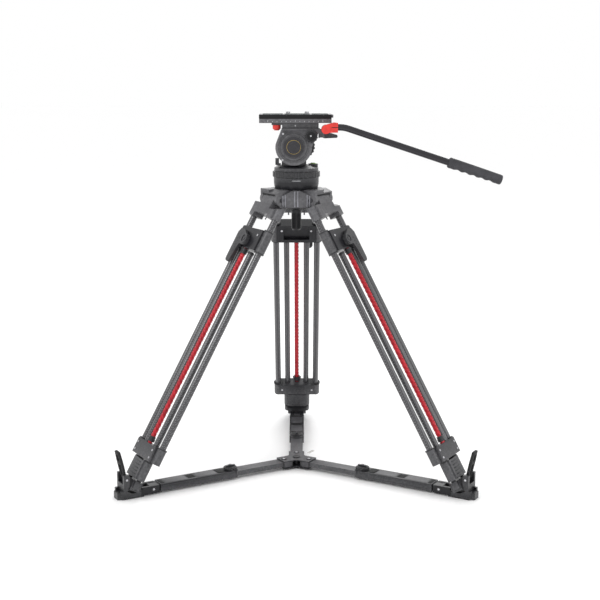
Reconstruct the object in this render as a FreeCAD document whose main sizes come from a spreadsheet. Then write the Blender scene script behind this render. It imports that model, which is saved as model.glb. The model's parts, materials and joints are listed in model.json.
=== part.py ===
"""Video tripod with fluid head: a parametric document of separate solids, in millimetres, +Z up.

The origin is on the floor under the centre of the bowl. Each leg is drawn in its own leg frame,
whose origin is the leg's hinge: X is the leg's outer face, Y runs across it and -Z runs down it.
Spreader pieces are drawn in a radial frame, whose X points out from the middle of the tripod.
"""

import FreeCAD, Part
import math
import os

from FreeCAD import Placement, Rotation, Vector

doc = FreeCAD.newDocument("tripod")

DRIVING_SIZES = [
    ("bowl_radius", 50.0), ("ball_height", 662.0), ("crown_radius", 56.0), ("rim_height", 644.0),
    ("hinge_reach", 58.0), ("hinge_height", 624.0), ("leg_lean", 30.2), ("barrel_radius", 11.0),
    ("pin_radius", 5.0),
    ("outer_spread", 48.0), ("mid_spread", 23.5), ("outer_tube", 14.5), ("mid_tube", 13.6),
    ("low_tube", 10.4), ("tube_wall", 1.3), ("bore_gap", 0.3), ("leg_half_width", 57.0),
    ("collar_top", 78.0), ("collar_length", 48.0), ("bracket_top", 597.0),
    ("bracket_length", 34.0), ("casting_top", 635.0), ("casting_length", 42.0),
    ("shoe_top", 681.0), ("shoe_length", 22.0), ("rod_radius", 5.4), ("rod_offset", 8.0),
    ("arm_half_width", 17.5), ("arm_bottom", 5.0), ("arm_height", 16.0), ("pin_reach", 366.0),
    ("sleeve_inner", 158.0), ("sleeve_outer", 349.0), ("knob_reach", 172.0),
    ("hub_radius", 22.0), ("hub_wing", 42.5), ("hub_half_width", 18.0), ("foot_reach", 447.0), ("foot_thick", 15.0),
    ("tilt_height", 739.0), ("tilt_offset", -5.5), ("cheek_radius", 40.0),
    ("head_half_width", 46.0), ("cheek_inner", 21.5), ("drum_radius", 32.0),
    ("shaft_radius", 8.0), ("disc_radius", 49.0), ("ring_radius", 52.5), ("ring_bottom", 671.5),
    ("ring_height", 12.5), ("cover_radius", 22.7), ("rail_bottom", 778.0),
    ("plate_bottom", 790.4), ("plate_height", 18.6), ("plate_length", 158.0),
    ("plate_half_width", 33.0), ("bar_radius", 7.5), ("bar_plane", -59.0),
    ("grip_radius", 12.0), ("camera_screw", 9.525),
]

sheet = doc.addObject("Spreadsheet::Sheet", "Sizes")
size = {}
for row, (alias, value) in enumerate(DRIVING_SIZES, start=1):
    sheet.set(f"A{row}", alias.replace("_", " "))
    sheet.set(f"B{row}", str(value))
    sheet.setAlias(f"B{row}", alias)
    size[alias] = value
doc.recompute()

LEGS = {"front_left": (210.0, -1), "front_right": (330.0, 1), "rear": (90.0, -1)}
AXES = {
    "x": Rotation(Vector(0, 1, 0), 90),
    "y": Rotation(Vector(1, 0, 0), -90),
    "z": Rotation(),
}
finished = []


def bind(item, name, value):
    """Give a size as a plain number, or as an expression on the sheet."""
    if isinstance(value, str):
        item.setExpression(name, value)
    else:
        setattr(item, name, value)


def block(x, y, z):
    """A box between two X, two Y and two Z places."""
    item = doc.addObject("Part::Box", "block")
    item.Length, item.Width, item.Height = x[1] - x[0], y[1] - y[0], z[1] - z[0]
    item.Placement = Placement(Vector(x[0], y[0], z[0]), Rotation())
    return item


def rod(axis, radius, start, length):
    """A cylinder that starts at a point and runs along +X, +Y or +Z."""
    item = doc.addObject("Part::Cylinder", "rod")
    bind(item, "Radius", radius)
    bind(item, "Height", length)
    item.Placement = Placement(Vector(*start), AXES[axis])
    return item


def taper(axis, radius_low, radius_high, start, length):
    """A cone frustum that starts at a point and runs along +X, +Y or +Z."""
    item = doc.addObject("Part::Cone", "taper")
    bind(item, "Radius1", radius_low)
    bind(item, "Radius2", radius_high)
    bind(item, "Height", length)
    item.Placement = Placement(Vector(*start), AXES[axis])
    return item


def ball(radius, centre):
    item = doc.addObject("Part::Sphere", "ball")
    bind(item, "Radius", radius)
    item.Placement = Placement(Vector(*centre), Rotation())
    return item


def union(items):
    if len(items) == 1:
        return items[0]
    item = doc.addObject("Part::MultiFuse", "union")
    item.Shapes = items
    item.Refine = True
    return item


def group(items):
    """Separate solids of one kind that share a node."""
    item = doc.addObject("Part::Compound", "group")
    item.Links = items
    return item


def cut(base, tools):
    item = doc.addObject("Part::Cut", "cut")
    item.Base = base
    item.Tool = union(tools)
    item.Refine = True
    return item


def tube(outer, inner, start, length):
    return cut(rod("z", outer, start, length), [rod("z", inner, start, length)])


def origin_plane(body, role):
    return next(p for p in body.Origin.OriginFeatures if p.Role == role)


def sketch_on(body, role, outline, circles=()):
    """A sketch of one closed outline, whose points marked "arc" are passed by a three-point arc."""
    sketch = body.newObject("Sketcher::SketchObject", "sketch")
    sketch.AttachmentSupport = [(origin_plane(body, role), "")]
    sketch.MapMode = "FlatFace"
    points = [Vector(p[0], p[1], 0) for p in outline]
    through = [len(p) > 2 for p in outline]
    count = len(points)
    for i in range(count):
        if through[i]:
            continue
        follow = (i + 1) % count
        if through[follow]:
            end = points[(i + 2) % count]
            arc = Part.Arc(points[i], points[follow], end)
            sketch.addGeometry(arc, False)
        else:
            sketch.addGeometry(Part.LineSegment(points[i], points[follow]), False)
    for x, y, radius in circles:
        sketch.addGeometry(Part.Circle(Vector(x, y, 0), Vector(0, 0, 1), radius), False)
    return sketch


def padded(role, outline, length, circles=()):
    """A body padded from an outline on one of its origin planes."""
    body = doc.addObject("PartDesign::Body", "body")
    pad = body.newObject("PartDesign::Pad", "pad")
    pad.Profile = sketch_on(body, role, outline, circles)
    bind(pad, "Length", length)
    doc.recompute()
    return body


def revolved(outline):
    """A body turned about Z from an outline of radius and height."""
    body = doc.addObject("PartDesign::Body", "body")
    sketch = sketch_on(body, "XZ_Plane", outline)
    turn = body.newObject("PartDesign::Revolution", "revolution")
    turn.Profile = sketch
    turn.ReferenceAxis = (sketch, ["V_Axis"])
    turn.Angle = 360
    doc.recompute()
    return body


def serrated(body, radius, height, notch, count):
    """Cut one round notch into a turned body's rim and repeat it round Z."""
    sketch = sketch_on(body, "XY_Plane", [], [(radius + notch * 0.35, 0, notch)])
    pocket = body.newObject("PartDesign::Pocket", "notch")
    pocket.Profile = sketch
    pocket.Midplane = True
    pocket.Length = 2 * height
    doc.recompute()
    pattern = body.newObject("PartDesign::PolarPattern", "notches")
    pattern.Originals = [pocket]
    pattern.Axis = (sketch, ["N_Axis"])
    pattern.Angle = 360
    pattern.Occurrences = count
    body.Tip = pattern
    doc.recompute()
    return body


def finish(item, label, placement=None):
    """Name a finished sub-part, and place it."""
    if placement is not None:
        item.Placement = placement.multiply(item.Placement)
    item.Label = label
    finished.append(item)
    return item


def at(x, y, z, rotation=Rotation()):
    return Placement(Vector(x, y, z), rotation)


def radial_frame(azimuth):
    return Placement(Vector(), Rotation(Vector(0, 0, 1), azimuth))


def leg_frame(azimuth):
    lean = Rotation(Vector(0, 1, 0), -size["leg_lean"])
    hinge = Placement(Vector(size["hinge_reach"], 0, size["hinge_height"]), lean)
    return radial_frame(azimuth).multiply(hinge)


# ---------------------------------------------------------------- crown and ball


def crown():
    """Bowl, with a hooded pair of cheeks for each leg's hinge and a ribbed panel between them."""
    centre, bowl, outside = size["ball_height"], size["bowl_radius"] + 0.3, 60.0
    rim, radius, hole, floor = size["rim_height"], size["crown_radius"], 20.0, 617.0

    def depth(ball_radius, reach):
        return centre - math.sqrt(ball_radius**2 - reach**2)

    rim_reach = math.sqrt(bowl**2 - (centre - rim) ** 2)
    shell_reach = math.sqrt(outside**2 - (centre - floor) ** 2)
    bowl_body = revolved([
        (rim_reach, rim), (38.0, depth(bowl, 38.0), "arc"), (hole, depth(bowl, hole)),
        (hole, depth(outside, hole)), (29.0, depth(outside, 29.0), "arc"), (shell_reach, floor),
        (radius, floor), (radius, rim - 4.0), (radius - 4.0, rim),
    ])
    solids, gaps = [bowl_body], []
    reach, height, barrel = size["hinge_reach"], size["hinge_height"], size["barrel_radius"]
    cheek, cheek_inner, cheek_outer, front = 14.0, 27.0, 37.5, 70.0
    for azimuth, _ in LEGS.values():
        hood = [block((40, front), (-cheek_outer, cheek_outer), (636, 646))]
        for side in (-1, 1):
            across = sorted((side * cheek_inner, side * cheek_outer))
            hood.append(block((40, front), across, (height, 640)))
            hood.append(rod("y", cheek, (reach, across[0], height), cheek_outer - cheek_inner))
        lug = union(hood)
        chamfer = block((0, 40), (-60, 60), (0, 40))
        chamfer.Placement = Placement(Vector(55, 0, 646), Rotation(Vector(0, 1, 0), 24))
        lug = cut(lug, [chamfer])
        lug.Placement = radial_frame(azimuth)
        solids.append(lug)
        pin_bore = rod("y", "Sizes.pin_radius + 0.02", (reach, -45.0, height), 90.0)
        for gap in (block((46, 90), (-26.5, 26.5), (590, 636)), pin_bore):
            gap.Placement = radial_frame(azimuth).multiply(gap.Placement)
            gaps.append(gap)
        panel = padded("YZ_Plane", [
            (-32, 608), (32, 608), (32, 634), (7, 645), (-7, 645), (-32, 634),
        ], 16.0)
        panel.Placement = radial_frame(azimuth + 60).multiply(at(46, 0, 0))
        solids.append(panel)
    keep_open = ball("Sizes.bowl_radius + 0.3", (0, 0, centre))
    below = ball(outside, (0, 0, centre))
    below_only = cut(below, [block((-70, 70), (-70, 70), (floor, 740))])
    return finish(cut(union(solids), gaps + [keep_open, below_only]), "crown")


def hinge_pins():
    """The three leg hinge pins, held in the crown's cheeks."""
    pins = []
    for azimuth, _ in LEGS.values():
        pin = rod("y", "Sizes.pin_radius", (size["hinge_reach"], -38.5, size["hinge_height"]), 77)
        pin.Placement = radial_frame(azimuth).multiply(pin.Placement)
        pins.append(pin)
    return finish(group(pins), "hinge_pins")


def half_ball():
    """Levelling half-ball with its flat top and the stud of the tie-down."""
    centre, radius, flat = size["ball_height"], size["bowl_radius"], 616.0
    flat_reach = math.sqrt(radius**2 - (centre - flat) ** 2)
    halfway = radius * math.cos(math.radians(30))
    top = size["ring_bottom"] - 0.5
    return finish(revolved([
        (0, top), (radius, top), (radius, centre),
        (halfway, centre - radius * 0.5, "arc"), (flat_reach, flat),
        (6.0, flat), (6.0, 580.0), (0, 580.0),
    ]), "half_ball")


def bowl_clamp_knob():
    """Dished washer under the bowl and the long handle that pulls it up."""
    centre, inner, outer, reach = size["ball_height"], 60.3, 66.0, 30.0

    def depth(ball_radius, distance):
        return centre - math.sqrt(ball_radius**2 - distance**2)

    knob = revolved([
        (6.1, depth(inner, 6.1)), (20.0, depth(inner, 20.0), "arc"), (reach, depth(inner, reach)),
        (reach, depth(outer, reach)), (20.0, depth(outer, 20.0), "arc"), (14.0, depth(outer, 14.0)),
        (11.0, 590.0), (11.0, 556.0), (8.0, 552.0), (0.0, 552.0), (0.0, 579.5), (6.1, 579.5),
    ])
    return finish(serrated(knob, 11.0, 588.0, 1.6, 10), "bowl_clamp_knob")


# ---------------------------------------------------------------- fluid head


def pan_base():
    """Turning base of the head, with the column that holds the tilt drum."""
    disc, neck, low = size["disc_radius"], 44.0, size["ring_bottom"] - 0.2
    ledge = size["ring_bottom"] + size["ring_height"] + 0.3
    base = revolved([
        (0, low), (neck, low), (neck, ledge), (disc, ledge), (disc, ledge + 7.5), (36, 697),
        (0, 697),
    ])
    column = block((-32, 22), (-19.5, 19.5), (690, size["tilt_height"]))
    level_boss = union([
        block((27, 40), (-12, 12), (690, 700)),
        rod("z", 10.0, (38, 0, 690), 10.0),
    ])
    seat = rod("y", "Sizes.drum_radius", (size["tilt_offset"], -30, size["tilt_height"]), 60)
    vial_seat = rod("z", 7.5, (38, 0, 697.5), 10)
    return finish(cut(union([base, column, level_boss]), [seat, vial_seat]), "pan_base")


def pan_drag_ring():
    low, tall, radius = size["ring_bottom"], size["ring_height"], size["ring_radius"]
    ring = revolved([
        (44.3, low), (radius - 1, low), (radius, low + 1), (radius, low + tall - 1),
        (radius - 1, low + tall), (44.3, low + tall),
    ])
    return finish(serrated(ring, radius, low + tall, 2.6, 30), "pan_drag_ring")


def pan_lock_lever():
    lever = union([
        rod("z", 5.0, (-39, -19, 697.3), 5.0),
        block((-46, -38), (-22.5, -15.5), (699, 713.5)),
    ])
    return finish(lever, "pan_lock_lever")


def bubble_level():
    vial = revolved([(0, 697.7), (7.2, 697.7), (7.2, 701), (5.0, 702.3), (0, 702.6)])
    return finish(vial, "bubble_level", at(38, 0, 0))


def tilt_drum():
    """Fluid drag cartridge, with the shaft that the cheeks turn on."""
    x, z = size["tilt_offset"], size["tilt_height"]
    drum = union([
        rod("y", "Sizes.drum_radius - 0.05", (x, -20.0, z), 40.0),
        rod("y", "Sizes.shaft_radius", (x, -38.0, z), 76.0),
    ])
    return finish(drum, "tilt_drum")


def tilt_housing():
    """Two cheeks on the tilt shaft, joined over the drum, with the lug of the pan bar."""
    x, z, radius = size["tilt_offset"], size["tilt_height"], size["cheek_radius"]
    wide, inner, top = size["head_half_width"], size["cheek_inner"], size["rail_bottom"]
    solids = []
    for low in (-wide, inner):
        cheek = padded("XZ_Plane", [
            (-32, top), (x - radius + 0.5, z + 6), (x - radius, z), (x, z - radius, "arc"),
            (x + radius, z), (44, 762), (49, 770), (49, top),
        ], wide - inner)
        cheek.Placement = at(0, low + wide - inner, 0)
        solids.append(cheek)
    solids.append(block((-32, 49), (-wide, wide), (z + 33.5, top)))
    solids.append(block((45, 66), (-46, -36), (768, top)))
    solids.append(rod("y", 9.5, (64, -46, 778), 10))
    solids.append(block((49, 52), (-12, 12), (757, top)))
    solids.append(block((49, 62), (-12, -8), (758, 770)))
    solids.append(block((49, 62), (8, 12), (758, 770)))
    shaft_bore = rod("y", "Sizes.shaft_radius + 0.05", (x, -39.0, z), 78.0)
    button_bore = rod("y", 3.3, (-24, -47, 771), 8)
    return finish(cut(union(solids), [shaft_bore, button_bore]), "tilt_housing")


def side_covers():
    x, z, wide = size["tilt_offset"], size["tilt_height"], size["head_half_width"]
    near = rod("y", "Sizes.cover_radius", (x, -wide - 2.5, z), 2.5)
    far = rod("y", "Sizes.cover_radius", (x, wide, z), 2.5)
    return finish(group([near, far]), "side_covers")


def dial(label, x, y, z, radius, thickness, notch, count):
    """A serrated knob whose axis lies along Y, and whose near face is at y."""
    knob = revolved([
        (0, 0), (radius, 0), (radius, thickness - 2), (radius - 2, thickness), (0, thickness),
    ])
    serrated(knob, radius, thickness, notch, count)
    turned = Rotation(Vector(1, 0, 0), -90) if y > 0 else Rotation(Vector(1, 0, 0), 90)
    return finish(knob, label, at(x, y, z, turned))


def tilt_lock_lever():
    lever = padded("XZ_Plane", [
        (52.6, 764), (57, 757.5, "arc"), (63, 756), (86, 757), (90, 760.5, "arc"), (87, 764),
        (66, 770), (57, 770.5, "arc"),
    ], 15.0)
    return finish(lever, "tilt_lock_lever", at(1.2, 7.5, 0))


def plate_rail():
    """Fixed rail under the camera plate, with its raised tongue."""
    low, high = size["rail_bottom"], size["plate_bottom"] - 0.4
    rail = union([
        block((-31, 49), (-30, 30), (low, high)),
        block((-31, 49), (-20, 20), (high, high + 5.5)),
        block((-54, -31), (-26, -8), (786, high)),
    ])
    return finish(rail, "plate_rail")


def plate_lock_knob():
    knob = revolved([(0, 774), (5, 774), (9, 778), (9, 785.7), (0, 785.7)])
    return finish(knob, "plate_lock_knob", at(-43, -17, 0))


def safety_button():
    return finish(rod("y", 3.0, (-24, -49.5, 771), 6.0), "safety_button")


def camera_plate():
    """Sliding plate with a groove for the rail, camera screw slot and relief windows."""
    low, tall, wide = size["plate_bottom"], size["plate_height"], size["plate_half_width"]
    left = -81.0
    right = left + size["plate_length"]
    body = union([
        block((left, right), (-wide, wide), (low, low + tall)),
        block((right, right + 4), (-wide + 6, wide - 6), (low + tall - 7, low + tall - 1)),
    ])
    groove = block((left - 1, right + 5), (-20.4, 20.4), (low - 1, low + 5.5))
    slot = block((-40, 50), (-4.9, 4.9), (low, low + tall + 1))
    edge = block((left - 1, right + 1), (-wide - 1, -wide + 1), (low + 9, low + 10.5))
    return finish(cut(body, [groove, slot, edge]), "camera_plate")


def camera_screws():
    """Two camera screws that stand through the plate's slot."""
    low = size["plate_bottom"] + 7.0
    top = size["plate_bottom"] + size["plate_height"]
    screws = []
    for x in (-18.0, 23.0):
        shank = rod("z", 4.3, (x, 0, low), top - low)
        thread = rod("z", "Sizes.camera_screw / 2", (x, 0, top), 5.5)
        screws.append(union([shank, thread]))
    return finish(group(screws), "camera_screws")


def pan_bar_clamp():
    """Rosette disc and split socket that hold the pan bar."""
    plane, bar_height = size["bar_plane"], BAR_BEND[1]
    socket = padded("XZ_Plane", [
        (60, 771), (90, 771.5), (90, 792), (82, 793), (62, 787),
    ], 23.0)
    socket.Placement = at(0, plane + 11.5, 0)
    clamp = union([rod("y", 9.5, (64, plane - 12.5, 778), 25.2), socket])
    bore = rod("x", "Sizes.bar_radius + 0.05", (74, plane, bar_height), 20)
    split = block((76, 92), (plane - 12, plane), (bar_height - 0.8, bar_height + 0.8))
    return finish(cut(clamp, [bore, split]), "pan_bar_clamp")


BAR_BEND = (104.0, 782.5)
BAR_SLOPE = 18.4
BAR_REACH = 238.0
GRIP_LENGTH = 124.0


def pan_bar():
    plane = size["bar_plane"]
    down = Rotation(Vector(0, 1, 0), 90 + BAR_SLOPE)
    first = rod("x", "Sizes.bar_radius", (74.2, plane, BAR_BEND[1]), BAR_BEND[0] - 74.2)
    elbow = ball("Sizes.bar_radius", (BAR_BEND[0], plane, BAR_BEND[1]))
    second = rod("z", "Sizes.bar_radius", (0, 0, 0), BAR_REACH + 30)
    second.Placement = Placement(Vector(BAR_BEND[0], plane, BAR_BEND[1]), down)
    return finish(union([first, elbow, second]), "pan_bar")


def pan_bar_grip():
    """Sleeve of the hand grip, with finger waves and an end ring."""
    inner, radius, length = size["bar_radius"] + 0.02, size["grip_radius"], GRIP_LENGTH
    outline = [(inner, 0), (radius - 2.5, 0), (radius - 0.5, 4)]
    waves, start, stop = 5, 8.0, length - 24.0
    step = (stop - start) / waves
    outline.append((radius, start))
    for i in range(waves):
        outline.append((radius - 1.4, start + (i + 0.5) * step, "arc"))
        outline.append((radius, start + (i + 1) * step))
    outline += [
        (radius, length - 12), (radius - 1.2, length - 10.5), (radius, length - 9),
        (radius - 1, length - 2), (radius - 4, length), (0, length), (0, 30.5), (inner, 30.5),
    ]
    angle = math.radians(BAR_SLOPE)
    x = BAR_BEND[0] + BAR_REACH * math.cos(angle)
    z = BAR_BEND[1] - BAR_REACH * math.sin(angle)
    down = Rotation(Vector(0, 1, 0), 90 + BAR_SLOPE)
    return finish(revolved(outline), "pan_bar_grip", at(x, size["bar_plane"], z, down))


# ---------------------------------------------------------------- legs


def shoulder():
    """Casting that hangs on the hinge and holds the top of the outer tubes."""
    spread, cheek = size["outer_spread"], size["leg_half_width"] + 1.5 - size["outer_spread"]
    solids = [
        rod("y", "Sizes.barrel_radius", (0, -26, 0), 52),
        block((-9, 13), (-26, 26), (-18, 3)),
        block((-13, 14), (-spread, spread), (-48, -16)),
    ]
    for side in (-1, 1):
        solids.append(rod("z", cheek, (-1, side * spread, -48), 32))
    body = union(solids)
    slope = block((0, 40), (-70, 70), (0, 40))
    slope.Placement = Placement(Vector(14, 0, -27), Rotation(Vector(0, 1, 0), -60))
    slope = cut(slope, [block((-60, 60), (-26, 26), (-60, 60))])
    sockets = [
        rod("z", "Sizes.outer_tube / 2", (-1, side * size["outer_spread"], -49), 27)
        for side in (-1, 1)
    ]
    pin_bore = rod("y", "Sizes.pin_radius + 0.05", (0, -27, 0), 54)
    window = block((-20, 20), (-30, 30), (-49, -40))
    return cut(body, [slope, pin_bore, window] + sockets)


def upper_tubes():
    low = size["bracket_top"] + 8.0
    pair = []
    for side in (-1, 1):
        start = (-1, side * size["outer_spread"], -low)
        pair.append(tube("Sizes.outer_tube / 2", "Sizes.outer_tube / 2 - Sizes.tube_wall",
                         start, low - 22.0))
    return group(pair)


def lock_collar():
    """Collar across the outer tubes, with a round boss for the lock lever."""
    top, tall, wide = size["collar_top"], size["collar_length"], size["leg_half_width"]
    solids = [
        block((-14, 14), (-wide + 11, wide - 11), (-top - tall, -top)),
        rod("x", 12.5, (10, 0, -108), 6.0),
    ]
    for side in (-1, 1):
        start = (-1, side * size["outer_spread"], -top - tall - 3)
        solids.append(rod("z", "Sizes.outer_tube / 2 + 3.8", start, tall + 6))
    bores = [
        rod("z", "Sizes.outer_tube / 2", (-1, side * size["outer_spread"], -top - tall - 9),
            tall + 20)
        for side in (-1, 1)
    ]
    recess = block((-20, -6), (-30, 30), (-top - tall + 8, -top - 8))
    rod_seat = rod("z", "Sizes.rod_radius + 0.05", (size["rod_offset"], 0, -top - tall - 1), 13)
    return cut(union(solids), bores + [recess, rod_seat])


def lock_lever(hand):
    """Flat lever on the collar's boss, with its grip lying along one outer tube."""
    outline = [
        (-12, -110), (-9, -100, "arc"), (0, -96), (14, -87), (31, -86), (38, -96), (38, -158),
        (29, -167, "arc"), (19, -158), (15, -132), (11, -121), (0, -122), (-9, -119, "arc"),
    ]
    return padded("YZ_Plane", [(hand * p[0], *p[1:]) for p in outline], 6.5)


def lock_rod():
    """Twisted lock bar in its turned cups, which the lever turns."""
    x, top = size["rod_offset"], size["collar_top"] + size["collar_length"] - 10
    low = size["bracket_top"] + 8
    return union([
        rod("z", "Sizes.rod_radius", (x, 0, -low), low - top),
        taper("z", 6.0, 8.0, (x, 0, -150), 22.0),
        taper("z", 8.5, 6.0, (x, 0, -596.5), 18.0),
    ])


def lower_bracket():
    """Bottom bracket of the outer tubes, which clamps the mid tubes."""
    top, tall, wide = size["bracket_top"], size["bracket_length"], size["leg_half_width"]
    solids = [block((-11, 15), (-wide + 12, wide - 12), (-top - tall, -top))]
    bores = []
    for side in (-1, 1):
        y = side * size["outer_spread"]
        solids.append(rod("z", "Sizes.outer_tube / 2 + 3", (-1, y, -top - tall), tall + 2))
        bores.append(rod("z", "Sizes.outer_tube / 2", (-1, y, -top - 8), 20))
        bores.append(rod("z", "Sizes.mid_tube / 2 + Sizes.bore_gap",
                         (3, side * size["mid_spread"], -top - tall - 5), tall + 10))
    bores.append(rod("z", "Sizes.rod_radius + 0.05", (size["rod_offset"], 0, -top - 8.2), 12))
    return cut(union(solids), bores)


def mid_tubes():
    low, top = size["casting_top"] + 14, size["collar_top"] + size["collar_length"] + 4
    pair = []
    for side in (-1, 1):
        start = (3, side * size["mid_spread"], -low)
        pair.append(tube("Sizes.mid_tube / 2", "Sizes.mid_tube / 2 - 1.2", start, low - top))
    return group(pair)


def lower_casting():
    """Casting at the end of the mid tubes, which clamps the lower tubes."""
    top, tall, half = size["casting_top"], size["casting_length"], size["mid_spread"]
    solids = [block((-9, 15), (-half, half), (-top - tall, -top))]
    bores = []
    for side in (-1, 1):
        start = (3, side * half, -top - tall)
        solids.append(rod("z", 9.5, start, tall))
        bores.append(rod("z", "Sizes.mid_tube / 2", (3, side * half, -top - 14), 30))
        bores.append(rod("z", "Sizes.low_tube / 2 + Sizes.bore_gap",
                         (3, side * half, -top - tall - 5), tall + 10))
    return cut(union(solids), bores)


def lower_stage():
    """Lower tubes inside the mid tubes, their bridge and the shoe."""
    top, tall, half = size["shoe_top"], size["shoe_length"], size["mid_spread"]
    solids = [block((-10, 14), (-half, half), (-top - tall, -top))]
    for side in (-1, 1):
        solids.append(rod("z", 8.5, (3, side * half, -top - tall + 6), tall - 6))
        solids.append(rod("z", "Sizes.low_tube / 2", (3, side * half, -top - 2), 470))
    solids.append(block((-6, 10), (-9, 9), (-top - tall - 6, -top - tall + 2)))
    return union(solids)


# ---------------------------------------------------------------- ground spreader


def foot_plate():
    """Plate strapped to the shoe, with two posts and an open fork for the arm."""
    tall, reach, wide = size["foot_thick"], size["foot_reach"], 17.0
    base = padded("XY_Plane", [
        (388, -wide), (reach - 12, -wide), (reach, -wide + 7), (reach, wide - 7),
        (reach - 12, wide), (388, wide),
    ], tall)
    solids = [base]
    for side in (-1, 1):
        across = sorted((side * 10.0, side * wide))
        solids.append(block((352, 392), across, (3, 20)))
        solids.append(rod("y", 6.0, (size["pin_reach"], min(across) - (1 if side < 0 else -1),
                                     12.5), 7.0))
        post_side = sorted((side * 13.0, side * 20.0))
        solids.append(block((422, 435), post_side, (8, 54)))
        solids.append(block((412, 441), post_side, (8, 20)))
    solids.append(block((430, 435), (-15, 15), (14, 34)))
    pocket = block((440, 445), (-6, 6), (5, 12))
    lean = Rotation(Vector(0, 1, 0), -size["leg_lean"])
    seat = block((0, 27), (0, 70), (0, 60))
    heel = size["shoe_top"] + size["shoe_length"] + 6
    angle = math.radians(size["leg_lean"])
    heel_reach = size["hinge_reach"] + heel * math.sin(angle)
    heel_height = size["hinge_height"] - heel * math.cos(angle)
    seat.Placement = Placement(Vector(heel_reach, 0, heel_height), lean).multiply(
        Placement(Vector(-12, -35, 0), Rotation()))
    return cut(union(solids), [pocket, seat])


def spreader_hub():
    """Three-winged hub of the spreader, two plates that hold the bars, and a pad on the floor."""
    low, tall, half = size["arm_bottom"], size["arm_height"], size["hub_half_width"]
    plates = [
        rod("z", 9.0, (0, 0, low), tall),
        rod("z", 15.0, (0, 0, 0), low),
    ]
    for bottom, thick in ((low - 1, 3.0), (low + tall - 1.6, 2.6)):
        plates.append(rod("z", "Sizes.hub_radius", (0, 0, bottom), thick))
        for azimuth, _ in LEGS.values():
            wing = block((0, size["hub_wing"]), (-half, half), (bottom, bottom + thick))
            wing.Placement = radial_frame(azimuth).multiply(wing.Placement)
            plates.append(wing)
    return finish(union(plates), "spreader_hub")


def inner_arms():
    """The three inner bars, which pivot in the hub and run inside the sleeves."""
    bars = []
    low = size["arm_bottom"] + 2.4
    for azimuth, _ in LEGS.values():
        bar = block((19, 232), (-14.5, 14.5), (low, low + 11.4))
        bar.Placement = radial_frame(azimuth).multiply(bar.Placement)
        bars.append(bar)
    return finish(group(bars), "inner_arms")


def outer_arm():
    """Sleeve that slides on the inner bar, with a clamp block and a tongue at its end."""
    low, tall, wide = size["arm_bottom"], size["arm_height"], size["arm_half_width"]
    start, stop = size["sleeve_inner"], size["sleeve_outer"]
    body = union([
        block((start + 6, stop), (-wide, wide), (low, low + tall)),
        rod("z", 17.5, (size["knob_reach"], 0, low), tall + 1.5),
        block((stop - 4, size["pin_reach"] + 6), (-8.5, 8.5), (low + 1, low + tall - 2)),
    ])
    cavity = block((start - 10, stop - 6), (-15, 15), (low + 2.0, low + 14.1))
    step = block((start + 40, 255), (-30, 30), (low - 1, low + 0.8))
    recess = block((262, 280), (-11, 11), (low + tall - 1.2, low + tall + 1))
    return cut(body, [cavity, step, recess])


def arm_knob():
    """Round lock knob on top of the sleeve's clamp block."""
    low = size["arm_bottom"] + size["arm_height"] + 1.8
    knob = revolved([(0, low), (15.5, low), (15.5, low + 3), (12, low + 5), (0, low + 5)])
    serrated(knob, 15.5, low + 6, 2.2, 12)
    wing = block((-11, 11), (-2.4, 2.4), (low + 4, low + 8))
    return union([knob, wing])


# ---------------------------------------------------------------- assembly

crown()
hinge_pins()
half_ball()
bowl_clamp_knob()
pan_base()
pan_drag_ring()
pan_lock_lever()
bubble_level()
tilt_drum()
tilt_housing()
side_covers()
dial("tilt_drag_knob", 33.0, -size["head_half_width"] - 0.3, 763.0, 14.0, 15.0, 1.8, 14)
dial("counterbalance_dial", 15.0, size["head_half_width"] + 2.8, 735.0, 27.0, 13.0, 2.6, 20)
tilt_lock_lever()
plate_rail()
plate_lock_knob()
safety_button()
camera_plate()
camera_screws()
pan_bar_clamp()
pan_bar()
pan_bar_grip()
spreader_hub()
inner_arms()

for leg, (azimuth, hand) in LEGS.items():
    frame, radial = leg_frame(azimuth), radial_frame(azimuth)
    finish(shoulder(), leg + "_shoulder", frame)
    finish(upper_tubes(), leg + "_upper_tubes", frame)
    finish(lock_collar(), leg + "_lock_collar", frame)
    finish(lock_lever(hand), leg + "_lock_lever", frame.multiply(at(16.5, 0, 0)))
    finish(lock_rod(), leg + "_lock_rod", frame)
    finish(lower_bracket(), leg + "_lower_bracket", frame)
    finish(mid_tubes(), leg + "_mid_tubes", frame)
    finish(lower_casting(), leg + "_lower_casting", frame)
    finish(lower_stage(), leg + "_lower_stage", frame)
    finish(foot_plate(), leg + "_foot_plate", radial)
    finish(outer_arm(), leg + "_outer_arm", radial)
    finish(arm_knob(), leg + "_arm_knob", radial.multiply(at(size["knob_reach"], 0, 0)))

doc.recompute()

for item in doc.Objects:
    if "Invalid" in item.State or "Error" in item.State:
        raise RuntimeError(f"{item.Name} ({item.Label}) did not build: {item.State}")
for item in finished:
    if item.Shape.isNull() or not item.Shape.isValid() or not item.Shape.Solids:
        raise RuntimeError(f"{item.Label} has no valid solid")

os.makedirs("parts", exist_ok=True)
for item in finished:
    item.Shape.exportStep(f"parts/{item.Label}.step")
print(len(finished), "sub-parts")
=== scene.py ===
"""Video tripod with fluid head: materials, fine detail, studio and camera around the CAD frame."""

import json
import math

import bmesh
import bpy
from mathutils import Euler, Matrix, Vector


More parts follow.
